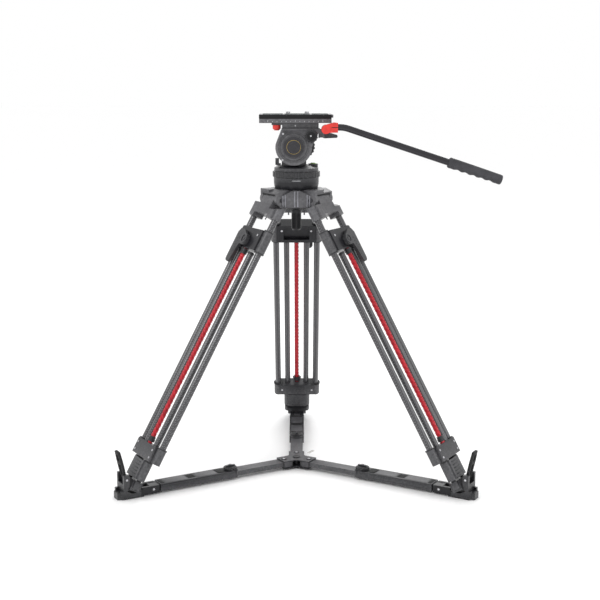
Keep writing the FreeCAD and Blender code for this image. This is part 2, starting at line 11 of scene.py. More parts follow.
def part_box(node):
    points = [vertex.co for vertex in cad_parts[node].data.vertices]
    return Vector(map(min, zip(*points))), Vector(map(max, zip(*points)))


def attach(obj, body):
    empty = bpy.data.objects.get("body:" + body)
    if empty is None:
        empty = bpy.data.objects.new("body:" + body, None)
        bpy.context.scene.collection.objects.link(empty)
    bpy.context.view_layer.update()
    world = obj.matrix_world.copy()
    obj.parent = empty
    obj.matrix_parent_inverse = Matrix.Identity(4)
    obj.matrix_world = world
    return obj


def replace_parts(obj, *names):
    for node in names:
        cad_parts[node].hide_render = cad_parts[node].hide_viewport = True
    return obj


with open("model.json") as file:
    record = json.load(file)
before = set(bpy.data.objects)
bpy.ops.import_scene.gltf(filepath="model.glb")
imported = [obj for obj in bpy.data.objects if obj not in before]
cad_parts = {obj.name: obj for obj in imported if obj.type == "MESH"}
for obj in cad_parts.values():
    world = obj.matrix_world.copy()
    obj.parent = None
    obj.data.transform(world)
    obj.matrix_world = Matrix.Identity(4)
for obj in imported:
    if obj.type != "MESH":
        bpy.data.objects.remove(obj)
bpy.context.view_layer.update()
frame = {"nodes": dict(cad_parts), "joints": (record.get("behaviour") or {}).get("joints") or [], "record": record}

MM = 0.001
NODES = frame["nodes"]
LEGS = {"front_left": (210.0, -1), "front_right": (330.0, 1), "rear": (90.0, -1)}
LEG_LEAN = 30.2


def joint_place(name):
    """A joint's place at rest, in millimetres."""
    found = next(joint for joint in frame["joints"] if joint["name"] == name)
    return Vector(found["pos_m"]) / MM


def node_box(name):
    """A CAD node's lowest and highest corners at rest, in millimetres."""
    low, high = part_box(name)
    return low / MM, high / MM


REAR_HINGE = joint_place("rear_leg_spread")
HINGE_REACH, HINGE_HEIGHT = REAR_HINGE.y, REAR_HINGE.z
ARM_TOP = 21.0
HUB_TOP = node_box("spreader_hub")[1].z


# ---------------------------------------------------------------- materials


class Finish:
    """A node material whose colour, bump and roughness come from procedural noise."""

    def __init__(self, name, colour, roughness, metallic=0.0, coat=0.0):
        self.material = bpy.data.materials.new(name)
        self.material.use_nodes = True
        self.tree = self.material.node_tree
        self.shader = self.tree.nodes["Principled BSDF"]
        self.colour = colour
        self.shader.inputs["Metallic"].default_value = metallic
        self.shader.inputs["Coat Weight"].default_value = coat
        self.shader.inputs["Coat Roughness"].default_value = 0.12
        self.shader.inputs["Specular IOR Level"].default_value = 0.3
        self.place = self.node("ShaderNodeTexCoord").outputs["Object"]
        self.roughness = roughness

    def node(self, kind, **settings):
        item = self.tree.nodes.new(kind)
        for key, value in settings.items():
            setattr(item, key, value)
        return item

    def link(self, source, target):
        self.tree.links.new(source, target)

    def noise(self, scale, detail=4.0):
        item = self.node("ShaderNodeTexNoise")
        item.inputs["Scale"].default_value = scale
        item.inputs["Detail"].default_value = detail
        self.link(self.place, item.inputs["Vector"])
        return item.outputs["Fac"]

    def ramp(self, source, stops):
        item = self.node("ShaderNodeValToRGB")
        elements = item.color_ramp.elements
        while len(elements) < len(stops):
            elements.new(0.5)
        for element, (position, colour) in zip(elements, stops):
            element.position = position
            element.color = (*colour, 1.0)
        self.link(source, item.inputs["Fac"])
        return item.outputs["Color"]

    def shade(self, factor):
        return tuple(min(1.0, c * factor) for c in self.colour)

    def mottled(self, scale=60.0, spread=0.25):
        """Colour that drifts a little darker and lighter."""
        tone = self.ramp(self.noise(scale), [
            (0.3, self.shade(1.0 - spread)), (0.7, self.shade(1.0 + spread)),
        ])
        self.link(tone, self.shader.inputs["Base Color"])
        return self

    def worn_edges(self, amount):
        """Paler wear where the surface is sharp, broken up by noise."""
        bare_metal = (0.32, 0.32, 0.33, 1.0)
        geometry = self.node("ShaderNodeNewGeometry").outputs["Pointiness"]
        edge = self.node("ShaderNodeMapRange")
        edge.inputs["From Min"].default_value = 0.52
        edge.inputs["From Max"].default_value = 0.62
        self.link(geometry, edge.inputs["Value"])
        patch = self.node("ShaderNodeMath", operation="MULTIPLY")
        self.link(edge.outputs["Result"], patch.inputs[0])
        self.link(self.noise(220.0), patch.inputs[1])
        scaled = self.node("ShaderNodeMath", operation="MULTIPLY")
        self.link(patch.outputs["Value"], scaled.inputs[0])
        scaled.inputs[1].default_value = amount
        mix = self.node("ShaderNodeMix", data_type="RGBA")
        base = self.shader.inputs["Base Color"]
        self.link(base.links[0].from_socket, mix.inputs["A"])
        mix.inputs["B"].default_value = bare_metal
        self.link(scaled.outputs["Value"], mix.inputs["Factor"])
        self.link(mix.outputs["Result"], base)
        return self

    def grained(self, scale, depth):
        """Fine bump, such as powder coat, moulded texture or rubber."""
        bump = self.node("ShaderNodeBump")
        bump.inputs["Strength"].default_value = depth
        bump.inputs["Distance"].default_value = 0.0004
        self.link(self.noise(scale, 3.0), bump.inputs["Height"])
        self.link(bump.outputs["Normal"], self.shader.inputs["Normal"])
        return self

    def patchy_gloss(self, scale=30.0, spread=0.08):
        """Roughness that drifts; this is the last step, so it gives the material back."""
        span = self.node("ShaderNodeMapRange")
        span.inputs["To Min"].default_value = max(0.05, self.roughness - spread)
        span.inputs["To Max"].default_value = min(1.0, self.roughness + spread)
        self.link(self.noise(scale), span.inputs["Value"])
        self.link(span.outputs["Result"], self.shader.inputs["Roughness"])
        return self.material


def woven_carbon(azimuth):
    """Twill of dark and less dark tows, laid along a leg of that azimuth."""
    finish = Finish(f"carbon_{int(azimuth)}", (0.062, 0.061, 0.066), 0.30, metallic=0.45, coat=1.0)
    align = finish.node("ShaderNodeMapping", vector_type="POINT")
    align.inputs["Rotation"].default_value = (0, math.radians(LEG_LEAN), -math.radians(azimuth))
    finish.link(finish.place, align.inputs["Vector"])
    bands = []
    for turn in (45.0, -45.0):
        tilt = finish.node("ShaderNodeMapping", vector_type="POINT")
        tilt.inputs["Rotation"].default_value = (math.radians(turn), 0, 0)
        finish.link(align.outputs["Vector"], tilt.inputs["Vector"])
        wave = finish.node("ShaderNodeTexWave", bands_direction="Z", wave_profile="SIN")
        wave.inputs["Scale"].default_value = 110.0
        wave.inputs["Distortion"].default_value = 0.4
        finish.link(tilt.outputs["Vector"], wave.inputs["Vector"])
        bands.append(wave.outputs["Fac"])
    weave = finish.node("ShaderNodeMath", operation="MULTIPLY")
    finish.link(bands[0], weave.inputs[0])
    finish.link(bands[1], weave.inputs[1])
    tone = finish.ramp(weave.outputs["Value"], [
        (0.1, finish.shade(0.6)), (0.9, finish.shade(2.2)),
    ])
    finish.link(tone, finish.shader.inputs["Base Color"])
    return finish.patchy_gloss(45.0, 0.06)


def simple(name, colour, roughness, metallic=0.0, coat=0.0, grain=(900.0, 0.25), wear=0.0):
    finish = Finish(name, colour, roughness, metallic, coat).mottled()
    if wear:
        finish.worn_edges(wear)
    finish.grained(*grain)
    return finish.patchy_gloss()


MATERIALS = {
    "grey_casting": simple("grey_powder_coat", (0.040, 0.039, 0.044), 0.44, 0.15, 0.1,
                           (1400.0, 0.35), 0.5),
    "black_casting": simple("black_powder_coat", (0.013, 0.013, 0.016), 0.42, 0.1, 0.15,
                            (1500.0, 0.35), 0.4),
    "black_plastic": simple("black_moulding", (0.010, 0.010, 0.012), 0.38, 0.0, 0.1,
                            (1100.0, 0.2), 0.2),
    "red_metal": simple("red_anodised", (0.42, 0.008, 0.018), 0.34, 0.2, 0.2, (800.0, 0.12)),
    "red_cast": simple("red_moulding", (0.62, 0.034, 0.026), 0.42, 0.0, 0.2, (900.0, 0.2)),
    "steel": simple("turned_steel", (0.50, 0.50, 0.52), 0.28, 1.0, 0.0, (1600.0, 0.15)),
    "dark_steel": simple("blackened_steel", (0.06, 0.06, 0.065), 0.35, 0.9, 0.0, (1600.0, 0.15)),
    "grip_rubber": simple("grip_rubber", (0.042, 0.042, 0.047), 0.62, 0.0, 0.0, (1300.0, 0.6)),
    "satin_black_tube": simple("satin_black", (0.012, 0.011, 0.015), 0.22, 0.3, 0.5,
                               (1500.0, 0.1), 0.1),
    "vial": simple("level_vial", (0.16, 0.28, 0.07), 0.08, 0.0, 1.0, (60.0, 0.02)),
    "rubber": simple("black_rubber", (0.014, 0.014, 0.015), 0.70, 0.0, 0.0, (1200.0, 0.5)),
    "marking": simple("white_marking", (0.55, 0.56, 0.58), 0.5, 0.0, 0.0, (900.0, 0.1)),
    "bright": simple("bright_rib", (0.22, 0.22, 0.24), 0.3, 0.7, 0.0, (900.0, 0.15)),
    "groove": simple("groove_black", (0.004, 0.004, 0.005), 0.6, 0.0, 0.0, (900.0, 0.2)),
    "brass": simple("brass_line", (0.45, 0.33, 0.10), 0.35, 0.8, 0.0, (900.0, 0.1)),
    "cork": simple("plate_pad", (0.018, 0.040, 0.034), 0.75, 0.0, 0.0, (500.0, 0.8)),
    "tie": simple("pale_tie", (0.60, 0.59, 0.56), 0.45, 0.0, 0.1, (400.0, 0.2)),
}


NODE_FINISHES = {
    "pan_bar_clamp": "red_cast", "plate_lock_knob": "red_cast", "camera_plate": "grey_casting",
    "side_covers": "satin_black_tube", "hinge_pins": "dark_steel",
}


def dress_nodes():
    """Give every CAD node its finish, and every node but the tubes softly broken edges."""
    slots = {s["node"]: s["material_slot"] for s in frame["record"]["subparts"]}
    carbon = {leg: woven_carbon(azimuth) for leg, (azimuth, _) in LEGS.items()}
    for name, node in NODES.items():
        material = MATERIALS.get(slots[name])
        material = MATERIALS.get(NODE_FINISHES.get(name), material)
        for leg, weave in carbon.items():
            if name.startswith(leg) and "tubes" in name:
                material = weave
        node.data.materials.clear()
        node.data.materials.append(material)
        if "tubes" not in name:
            soft = node.modifiers.new("edges", "BEVEL")
            soft.width = 0.9 * MM
            soft.segments = 2
            soft.limit_method = "ANGLE"
            soft.angle_limit = math.radians(38)
            soft.use_clamp_overlap = True


# ---------------------------------------------------------------- pieces


def radial_frame(azimuth):
    return Matrix.Rotation(math.radians(azimuth), 4, "Z")


def leg_frame(azimuth):
    """Leg axes in the row frame: X the outer face, Y across, -Z down the leg."""
    hinge = Matrix.Translation((HINGE_REACH, 0, HINGE_HEIGHT))
    return radial_frame(azimuth) @ hinge @ Matrix.Rotation(-math.radians(LEG_LEAN), 4, "Y")


class Piece:
    """Mesh pieces drawn in millimetres, in a frame of their own, and joined as one object."""

    def __init__(self, name, body, material, slot, place=Matrix()):
        self.name, self.body, self.material, self.slot = name, body, material, slot
        self.place = place
        self.mesh = bmesh.new()

    def add(self, verts, matrix):
        bmesh.ops.transform(self.mesh, matrix=self.place @ matrix, verts=verts)

    def block(self, low, high, bevel=0.3, turn=None):
        low, high = Vector(low), Vector(high)
        made = bmesh.ops.create_cube(self.mesh, size=1.0)["verts"]
        scale = Matrix.Diagonal((*(high - low), 1.0))
        bmesh.ops.transform(self.mesh, matrix=scale, verts=made)
        if bevel:
            edges = {e for v in made for e in v.link_edges}
            out = bmesh.ops.bevel(self.mesh, geom=list(edges), offset=bevel, segments=2,
                                  affect="EDGES", profile=0.6)
            made = list({v for f in out["faces"] for v in f.verts}
                        | {v for v in made if v.is_valid})
        matrix = Matrix.Translation((low + high) / 2)
        self.add(made, matrix @ (turn or Matrix()))
        return self

    def disc(self, centre, radius, thick, axis="Z", bevel=0.3, sides=40):
        made = bmesh.ops.create_cone(
            self.mesh, cap_ends=True, segments=sides, radius1=radius,
            radius2=radius, depth=thick)["verts"]
        if bevel:
            rims = [e for e in {e for v in made for e in v.link_edges}
                    if e.calc_face_angle(0.0) > 1.0]
            out = bmesh.ops.bevel(self.mesh, geom=rims, offset=bevel, segments=2,
                                  affect="EDGES", profile=0.6)
            made = list({v for f in out["faces"] for v in f.verts}
                        | {v for v in made if v.is_valid})
        turn = {"X": Matrix.Rotation(math.radians(90), 4, "Y"),
                "Y": Matrix.Rotation(math.radians(-90), 4, "X"), "Z": Matrix()}[axis]
        self.add(made, Matrix.Translation(centre) @ turn)
        return self

    def loft(self, rings, closed=False):
        """Skin a list of rings of equal length, with caps unless the rings close on themselves."""
        made = [[self.mesh.verts.new(p) for p in ring] for ring in rings]
        count = len(made[0])
        pairs = list(zip(made, made[1:]))
        if closed:
            pairs.append((made[-1], made[0]))
        for low, high in pairs:
            for i in range(count):
                j = (i + 1) % count
                self.mesh.faces.new((low[i], low[j], high[j], high[i]))
        if not closed:
            self.mesh.faces.new(list(reversed(made[0])))
            self.mesh.faces.new(made[-1])
        self.add([v for ring in made for v in ring], Matrix())
        return self

    def finish(self, smooth_angle=35.0):
        bmesh.ops.recalc_face_normals(self.mesh, faces=self.mesh.faces)
        bmesh.ops.transform(self.mesh, matrix=Matrix.Scale(MM, 4), verts=self.mesh.verts)
        data = bpy.data.meshes.new(self.name)
        self.mesh.to_mesh(data)
        self.mesh.free()
        data.materials.append(self.material)
        piece = bpy.data.objects.new(self.name, data)
        bpy.context.scene.collection.objects.link(piece)
        data.shade_smooth()
        data.set_sharp_from_angle(angle=math.radians(smooth_angle))
        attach(piece, self.body)
        return piece


def piece(name, body, material, place=Matrix(), slot="black_plastic"):
    return Piece(name, body, MATERIALS[material], slot, place)


# ---------------------------------------------------------------- legs


def twisted_rod(leg, place):
    """Twisted square bar of the lock rod, with a turned cup round each end."""
    top, low, offset, half = -116.0, -605.0, 8.0, 5.0
    steps, pitch, corner_lead = 360, 46.0, 0.22
    reach = half * 1.08
    bar = piece(leg + "_twisted_bar", leg + "_rod", "red_metal", place, "red_metal")
    rings = []
    for k in range(steps + 1):
        z = top + (low - top) * k / steps
        turn = 2 * math.pi * (top - z) / pitch
        ring = []
        for corner in range(4):
            for lead in (-corner_lead, corner_lead):
                angle = turn + math.pi * (0.25 + corner / 2) + lead
                ring.append((offset + reach * math.cos(angle), reach * math.sin(angle), z))
        rings.append(ring)
    bar.loft(rings)
    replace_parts(bar.finish(28.0), leg + "_lock_rod")
    cups = piece(leg + "_rod_cups", leg + "_rod", "black_plastic", place)
    upper_lip, lower_lip, bore = -134.0, -586.0, 6.0
    for sign, lip in ((1, upper_lip), (-1, lower_lip)):
        ring_piece(cups, (offset, 0, lip + sign * 3.5), 7.9, bore, 7.0)
        ring_piece(cups, (offset, 0, lip - sign * 2.5), 7.1, bore, 5.0)
    cups.finish()


def lever_pivot(leg, place, hand):
    """Boss and hexagon at the lock lever's pivot, and the ribs of its thumb tab."""
    pivot, boss_outer, boss_inner, hexagon = Vector((22.5, 0, -108)), 11.0, 8.4, 4.6
    tab_face, tab_middle, tab_half, tab_foot = 22.3, hand * 27, 6.5, -150.0
    rib_count, rib_pitch, rib_width, rib_rise = 6, 8.0, 3.4, 1.2
    lever = piece(leg + "_lever_pivot", leg + "_lever", "black_casting", place)
    lever.place = place @ Matrix.Translation(pivot) @ Matrix.Rotation(math.radians(90), 4, "Y")
    ring_piece(lever, (0, 0, 0.8), boss_outer, boss_inner, 2.4)
    lever.disc((0, 0, 0.4), hexagon, 1.6, bevel=0.5, sides=6)
    lever.place = place
    for i in range(rib_count):
        low = tab_foot + i * rib_pitch
        lever.block((tab_face, tab_middle - tab_half, low),
                    (tab_face + rib_rise, tab_middle + tab_half, low + rib_width), 0.5)
    lever.finish()


def leg_screws(leg, place):
    """Steel screw heads on the lock collar and the lower bracket, front and back."""
    head_radius = 2.6
    collar_face, collar_across, collar_along = 14.3, 34, -92
    bracket_front, bracket_back, bracket_across = 15.2, -11.3, 38
    heads = (
        (collar_face, collar_across, collar_along, 1.6),
        (bracket_front, bracket_across, -606, 1.4),
        (bracket_front, bracket_across, -623, 1.4),
        (-collar_face, collar_across, collar_along, 1.6),
        (bracket_back, bracket_across, -614, 1.4),
    )
    screws = piece(leg + "_screws", leg + "_leg", "steel", place, "steel")
    for side in (-1, 1):
        for face, across, along, thick in heads:
            screws.disc((face, side * across, along), head_radius, thick, axis="X", bevel=0.5,
                        sides=24)
    screws.finish()


def leg_trim(leg, place):
    """Rims where the tubes meet the castings, ends of the mid tubes, and cast ribs."""
    outer_x, outer_y, rim_heights = -1, 48, (-77.0, -127.5, -596.0)
    rims = piece(leg + "_tube_rims", leg + "_leg", "black_plastic", place)
    for side in (-1, 1):
        for z in rim_heights:
            ring_piece(rims, (outer_x, side * outer_y, z), 11.6, 7.3, 2.4)
    rims.finish()
    mid_x, mid_y, mid_top, mid_foot = 3, 23.5, -133.0, -634.0
    plugs = piece(leg + "_mid_plugs", leg + "_mid", "black_plastic", place)
    for side in (-1, 1):
        ring_piece(plugs, (mid_x, side * mid_y, mid_top), 7.3, 5.0, 5.0)
        ring_piece(plugs, (mid_x, side * mid_y, mid_foot), 10.1, 6.85, 3.0)
    plugs.finish()
    casting_face, rib_half, rib_foot, rib_pitch = 14.6, 15, -670.0, 7.0
    ribs = piece(leg + "_casting_ribs", leg + "_mid", "black_casting", place, "black_casting")
    for i in range(5):
        low = rib_foot + i * rib_pitch
        ribs.block((casting_face, -rib_half, low), (casting_face + 1.6, rib_half, low + 2.6), 0.5)
    ribs.finish()
    shoulder_back, rib_middle, rib_half = -12.8, 18, 1.6
    ribs = piece(leg + "_shoulder_ribs", leg + "_leg", "grey_casting", place, "grey_casting")
    for side in (-1, 1):
        ribs.block((shoulder_back - 1.4, side * rib_middle - rib_half, -46),
                   (shoulder_back, side * rib_middle + rib_half, -19), 0.5)
    ribs.finish()


def leg_details(leg, azimuth, hand):
    place = leg_frame(azimuth)
    twisted_rod(leg, place)
    lever_pivot(leg, place, hand)
    leg_screws(leg, place)
    leg_trim(leg, place)


def ring_piece(target, centre, outer, inner, thick, sides=40):
    """A flat ring about the frame's Z, with its rims broken."""
    soft = min(0.5, (outer - inner) / 4)
    profile = [
        (inner, -thick / 2), (outer - soft, -thick / 2), (outer, -thick / 2 + soft),
        (outer, thick / 2 - soft), (outer - soft, thick / 2), (inner, thick / 2),
    ]
    rings = []
    for k in range(sides):
        angle = 2 * math.pi * k / sides
        rings.append([
            (centre[0] + r * math.cos(angle), centre[1] + r * math.sin(angle), centre[2] + z)
            for r, z in profile
        ])
    target.loft(rings, closed=True)


SOFT_SQUARE = ((-1, -0.7), (-0.7, -1), (0.7, -1), (1, -0.7), (1, 0.7), (0.7, 1), (-0.7, 1),
               (-1, 0.7))


def foot_strap(leg, place):
    """Rubber strap on the foot plate's posts: two long rails joined by three bridges."""
    base, tip = Vector((428.5, 0, 52.0)), Vector((440.5, 0, 106.0))
    up = (tip - base).normalized()
    out = Vector((up.z, 0, -up.x))
    side = Vector((0, 1, 0))
    length = (tip - base).length
    low, high, steps, narrowing = -6.0, length - 4.0, 8, 0.28
    half_width, hole, thick = 12.5, 6.5, 3.0
    rail_half = (half_width - hole) / 2
    strap = piece(leg + "_foot_strap", leg + "_lower", "rubber", place, "black_plastic")
    for sign in (-1, 1):
        rings = []
        for k in range(steps + 1):
            s = low + (high - low) * k / steps
            taper = 1.0 - narrowing * ((k - steps / 2) / (steps / 2)) ** 2
            middle = base + up * s + side * sign * (hole + half_width) / 2 * taper
            rings.append([
                tuple(middle + side * across * rail_half + out * through * thick)
                for across, through in SOFT_SQUARE
            ])
        strap.loft(rings)
    turn = Matrix.Rotation(math.atan2(up.x, up.z), 4, "Y")
    for s, half in ((-5.0, 11.5), (length * 0.5, 11.0), (length - 5.0, 10.5)):
        centre = base + up * s
        strap.block(centre - Vector((3, half, 4)), centre + Vector((3, half, 4)), 1.4, turn)
    strap.finish()


def foot_details(leg, azimuth):
    """Strap, steel pin heads and raised side edges of one foot plate."""
    place = radial_frame(azimuth)
    foot_strap(leg, place)
    pins = piece(leg + "_fork_pins", leg + "_lower", "steel", place, "steel")
    for sign in (-1, 1):
        pins.disc((366, sign * 18.1, 12.5), 2.6, 1.4, axis="Y", bevel=0.4, sides=24)
        pins.disc((428, sign * 20.2, 44), 2.4, 1.2, axis="Y", bevel=0.4, sides=24)
    pins.finish()
    edge_middle, edge_half = 17.0, 0.8
    edges = piece(leg + "_plate_edges", leg + "_lower", "black_casting", place, "black_casting")
    for sign in (-1, 1):
        edges.block((395, sign * edge_middle - edge_half, 3),
                    (432, sign * edge_middle + edge_half, 12), 0.5)
    edges.finish()


# ---------------------------------------------------------------- spreader


def hub_details():
    """Bolts, washers and edges of the hub, and a pale tie near its rear arm."""
    bolt_reach, edge_middle, edge_half = 33, 17.2, 0.9
    bolts = piece("hub_bolts", "spreader_hub", "steel", slot="steel")
    washers = piece("hub_washers", "spreader_hub", "black_plastic")
    for azimuth, _ in LEGS.values():
        turn = math.radians(azimuth)
        centre = (bolt_reach * math.cos(turn), bolt_reach * math.sin(turn))
        ring_piece(washers, (*centre, HUB_TOP + 0.5), 6.5, 3.0, 1.4)
        bolts.disc((*centre, HUB_TOP + 0.9), 3.2, 1.8, bevel=0.5, sides=24)
    bolts.finish()
    washers.disc((0, 0, HUB_TOP + 0.8), 9.0, 2.2, bevel=0.8)
    washers.finish()
    edges = piece("hub_edges", "spreader_hub", "grey_casting", slot="grey_casting")
    for azimuth, _ in LEGS.values():
        edges.place = radial_frame(azimuth)
        for side in (-1, 1):
            edges.block((24, side * edge_middle - edge_half, 7.6),
                        (42, side * edge_middle + edge_half, HUB_TOP - 2.6), 0.4)
    edges.finish()
    tie_azimuth, low, high = 58.0, ARM_TOP - 2.4, ARM_TOP - 0.6
    tie = piece("hub_tie", "spreader_hub", "tie", radial_frame(tie_azimuth))
    tie.block((46, -7.2, low), (68, -5.8, high), 0.4)
    tie.block((46, -2.6, low), (68, -1.2, high), 0.4)
    tie.block((66.6, -7.2, low), (68, -1.2, high), 0.4)
    tie.finish()


def arm_details(leg, azimuth):
    """Pads, plates and rails of one sleeve, the bar's strip and the lock knob's cap."""
    place = radial_frame(azimuth)
    sink = ARM_TOP - 0.4
    pads = piece(leg + "_arm_pads", leg + "_arm", "rubber", place)
    pads.block((262.5, -10.5, ARM_TOP - 1.4), (279.5, 10.5, ARM_TOP - 0.3), 0.5)
    for x in (265, 269, 273, 277):
        pads.block((x - 1, -9, ARM_TOP - 0.6), (x + 1, 9, ARM_TOP + 0.2), 0.3)
    pads.block((190, -13, sink), (208, 13, ARM_TOP + 1.0), 0.5)
    pads.block((338, -13, sink), (346, 13, ARM_TOP + 0.7), 0.4)
    pads.finish()
    plates = piece(leg + "_arm_plate", leg + "_arm", "grey_casting", place, "grey_casting")
    plates.block((211, -14, sink), (259, 14, ARM_TOP + 0.5), 0.4)
    plates.block((283, -14, sink), (335, 14, ARM_TOP + 0.5), 0.4)
    plates.finish()
    rail_middle, rail_half = 17.4, 0.5
    rails = piece(leg + "_arm_rails", leg + "_arm", "black_casting", place, "black_casting")
    for sign in (-1, 1):
        near, far = sign * rail_middle - rail_half, sign * rail_middle + rail_half
        rails.block((200, near, 8.4), (344, far, 9.8), 0.4)
        rails.block((200, near, 16.2), (344, far, 17.6), 0.4)
    rails.finish()
    strip = piece(leg + "_bar_strip", "spreader_hub", "grey_casting", place, "grey_casting")
    strip.block((48, -11.5, ARM_TOP - 2.6), (150, 11.5, ARM_TOP - 2.1), 0.2)
    strip.finish()
    knob_reach, dot_count, dot_circle = 172, 12, 13.6
    knob = piece(leg + "_knob_cap", leg + "_arm_knob", "dark_steel", place, "steel")
    knob.disc((knob_reach, 0, 31.2), 4.2, 1.6, bevel=0.6, sides=24)
    for k in range(dot_count):
        turn = 2 * math.pi * k / dot_count
        spot = (knob_reach + dot_circle * math.cos(turn), dot_circle * math.sin(turn), 26.4)
        knob.disc(spot, 1.1, 1.4, bevel=0.3, sides=16)
    knob.finish()


def spreader_details():
    hub_details()
    for leg, (azimuth, _) in LEGS.items():
        arm_details(leg, azimuth)


# ---------------------------------------------------------------- crown


def crown_details():
    """Ribs of the panels between the legs, slots and hinge screws of the hoods, bowl line."""
    ribs = piece("crown_ribs", "crown", "bright", slot="grey_casting")
    slots = piece("crown_slots", "crown", "groove")
    screws = piece("crown_screws", "crown", "dark_steel", slot="steel")
    panel_face, panel_foot, eaves, ridge = 62.0, 609.5, 634.0, 645.0
    panel_half, ridge_half, rib_half = 32.0, 7.0, 1.5
    hood_face = 69.0
    for azimuth, _ in LEGS.values():
        ribs.place = radial_frame(azimuth + 60)
        for y in (-29.0, -24.0, -3.4, 3.4, 24.0, 29.0):
            slope = (panel_half - max(ridge_half, abs(y))) / (panel_half - ridge_half)
            top = eaves + (ridge - eaves) * slope - 0.8
            ribs.block((panel_face - 0.6, y - rib_half, panel_foot),
                       (panel_face + 1.3, y + rib_half, top), 0.5)
        slots.place = radial_frame(azimuth)
        slots.block((hood_face, -29, 634.2), (hood_face + 1.3, 29, 636.4), 0.3)
        screws.place = radial_frame(azimuth)
        for side in (-1, 1):
            screws.disc((HINGE_REACH, side * 38.4, HINGE_HEIGHT), 4.6, 1.6, axis="Y", bevel=0.5,
                        sides=24)
            screws.disc((HINGE_REACH, side * 39.2, HINGE_HEIGHT), 2.2, 0.8, axis="Y", bevel=0.2,
                        sides=6)
    ribs.finish()
    slots.finish()
    screws.finish()
    inner, outer, first, step = 49.7, 50.15, -100.0, 1.6
    marks = piece("bowl_marks", "ball", "marking")
    for k in range(14):
        marks.place = radial_frame(first + k * step)
        marks.block((inner, -0.7, 665.2), (outer, 0.7, 666.0), 0.0)
    marks.finish()


# ---------------------------------------------------------------- fluid head


def cover_details(near):
    """Rings on both side covers, and a thin brass ring on the near one."""
    axis = joint_place("tilt_turn")
    rims = piece("cover_rims", "tilt", "black_casting", slot="black_casting")
    for face, turn in ((near, 90), (-near, -90)):
        rims.place = (Matrix.Translation((axis.x, face, axis.z))
                      @ Matrix.Rotation(math.radians(turn), 4, "X"))
        ring_piece(rims, (0, 0, 1.3), 24.6, 22.6, 2.8, 72)
        ring_piece(rims, (0, 0, 0.5), 30.5, 28.8, 1.4, 72)
        ring_piece(rims, (0, 0, 0.5), 33.5, 32.7, 1.2, 72)
    rims.finish()
    mark = piece("cover_mark", "tilt", "brass", slot="black_plastic")
    mark.place = (Matrix.Translation((axis.x, near, axis.z))
                  @ Matrix.Rotation(math.radians(90), 4, "X"))
    ring_piece(mark, (0, 0, 2.6), 15.4, 14.8, 0.6, 72)
    mark.finish()


def knob_details(near):
    """Face and stud of the drag knob, and face, centre and dots of the balance dial."""
    drag, balance = joint_place("tilt_drag_turn"), joint_place("counterbalance_turn")
    knob = piece("drag_knob_face", "drag_knob", "groove")
    knob.disc((drag.x, near - 15.5, drag.z), 9.5, 0.8, axis="Y", bevel=0.3, sides=48)
    knob.finish()
    stud = piece("drag_knob_stud", "drag_knob", "steel", slot="steel")
    stud.disc((drag.x - 1.5, near - 16.2, drag.z + 1.0), 2.0, 1.2, axis="Y", bevel=0.4, sides=24)
    stud.finish()
    dot_count, dot_circle = 10, 12.0
    dial = piece("dial_face", "balance_dial", "grey_casting", slot="grey_casting")
    dial.place = (Matrix.Translation((balance.x, -near + 15.8, balance.z))
                  @ Matrix.Rotation(math.radians(-90), 4, "X"))
    ring_piece(dial, (0, 0, 0.2), 19.0, 15.5, 1.4, 64)
    dial.disc((0, 0, 0.3), 6.0, 1.6, bevel=0.5)
    for k in range(dot_count):
        turn = 2 * math.pi * k / dot_count
        dial.disc((dot_circle * math.cos(turn), dot_circle * math.sin(turn), 0.2), 0.9, 0.8,
                  bevel=0.2, sides=16)
    dial.finish()


def head_details():
    near = node_box("tilt_housing")[0].y
    cover_details(near)
    screws = piece("head_screws", "tilt", "steel", slot="steel")
    for face, spots in (
        (near - 0.4, ((-28.5, 768.0), (-30.0, 711.0))),
        (-near + 0.4, ((-28.5, 768.0), (40.0, 770.0))),
    ):
        for x, z in spots:
            screws.disc((x, face, z), 2.3, 1.4, axis="Y", bevel=0.5, sides=24)
    screws.finish()
    knob_details(near)
    rail_face, line_foot, line_half = 30.1, 780.0, 0.35
    rail = piece("rail_dot", "tilt", "marking")
    rail.disc((-2, -rail_face, 784.5), 1.3, 0.6, axis="Y", bevel=0.0, sides=24)
    rail.finish()
    lines = piece("rail_lines", "tilt", "black_casting", slot="black_casting")
    for face in (-rail_face, rail_face):
        lines.block((-29, face - line_half, line_foot), (47, face + line_half, line_foot + 1), 0.1)
    lines.finish()
    plate_details()
    pan_bar_details()


def plate_details():
    """Even scale of ticks, top pads, dark side band and screw washers of the camera plate."""
    (left, near, low), (_, _, top) = node_box("camera_plate")
    right = 77.0
    first_tick, pitch, tick_half, tick_foot = left + 19.0, 10.0, 0.4, low + 2.2
    scale = piece("plate_scale", "plate", "marking")
    for k in range(13):
        x = first_tick + k * pitch
        tall = 4.0 if k % 6 == 0 else 2.2
        scale.block((x - tick_half, near - 0.25, tick_foot),
                    (x + tick_half, near + 0.1, tick_foot + tall), 0.0)
    scale.finish()
    pads = piece("plate_pads", "plate", "cork", slot="grip_rubber")
    for y in (-21.5, 21.5):
        for x0, x1 in ((-74, -30), (-24, 28), (34, 70)):
            pads.block((x0, y - 7.5, top - 0.2), (x1, y + 7.5, top + 0.45), 0.3)
    pads.finish()
    proud, band_foot, band_top, line_foot = 0.3, low + 10.4, top - 0.5, low + 9.0
    band = piece("plate_bands", "plate", "groove")
    for face in (near, -near):
        band.block((left - proud, face - proud, band_foot),
                   (right + proud, face + proud, band_top), 0.2)
        band.block((left, face - 0.1, line_foot), (right, face + 0.1, band_foot), 0.0)
    for side in (left, right):
        band.block((side - proud, near, band_foot), (side + proud, -near, band_top), 0.2)
    band.finish()
    washers = piece("screw_washers", "plate", "black_plastic")
    for x in (-18.0, 23.0):
        ring_piece(washers, (x, 0, top + 0.45), 8.4, 4.9, 0.9, 48)
    washers.finish()


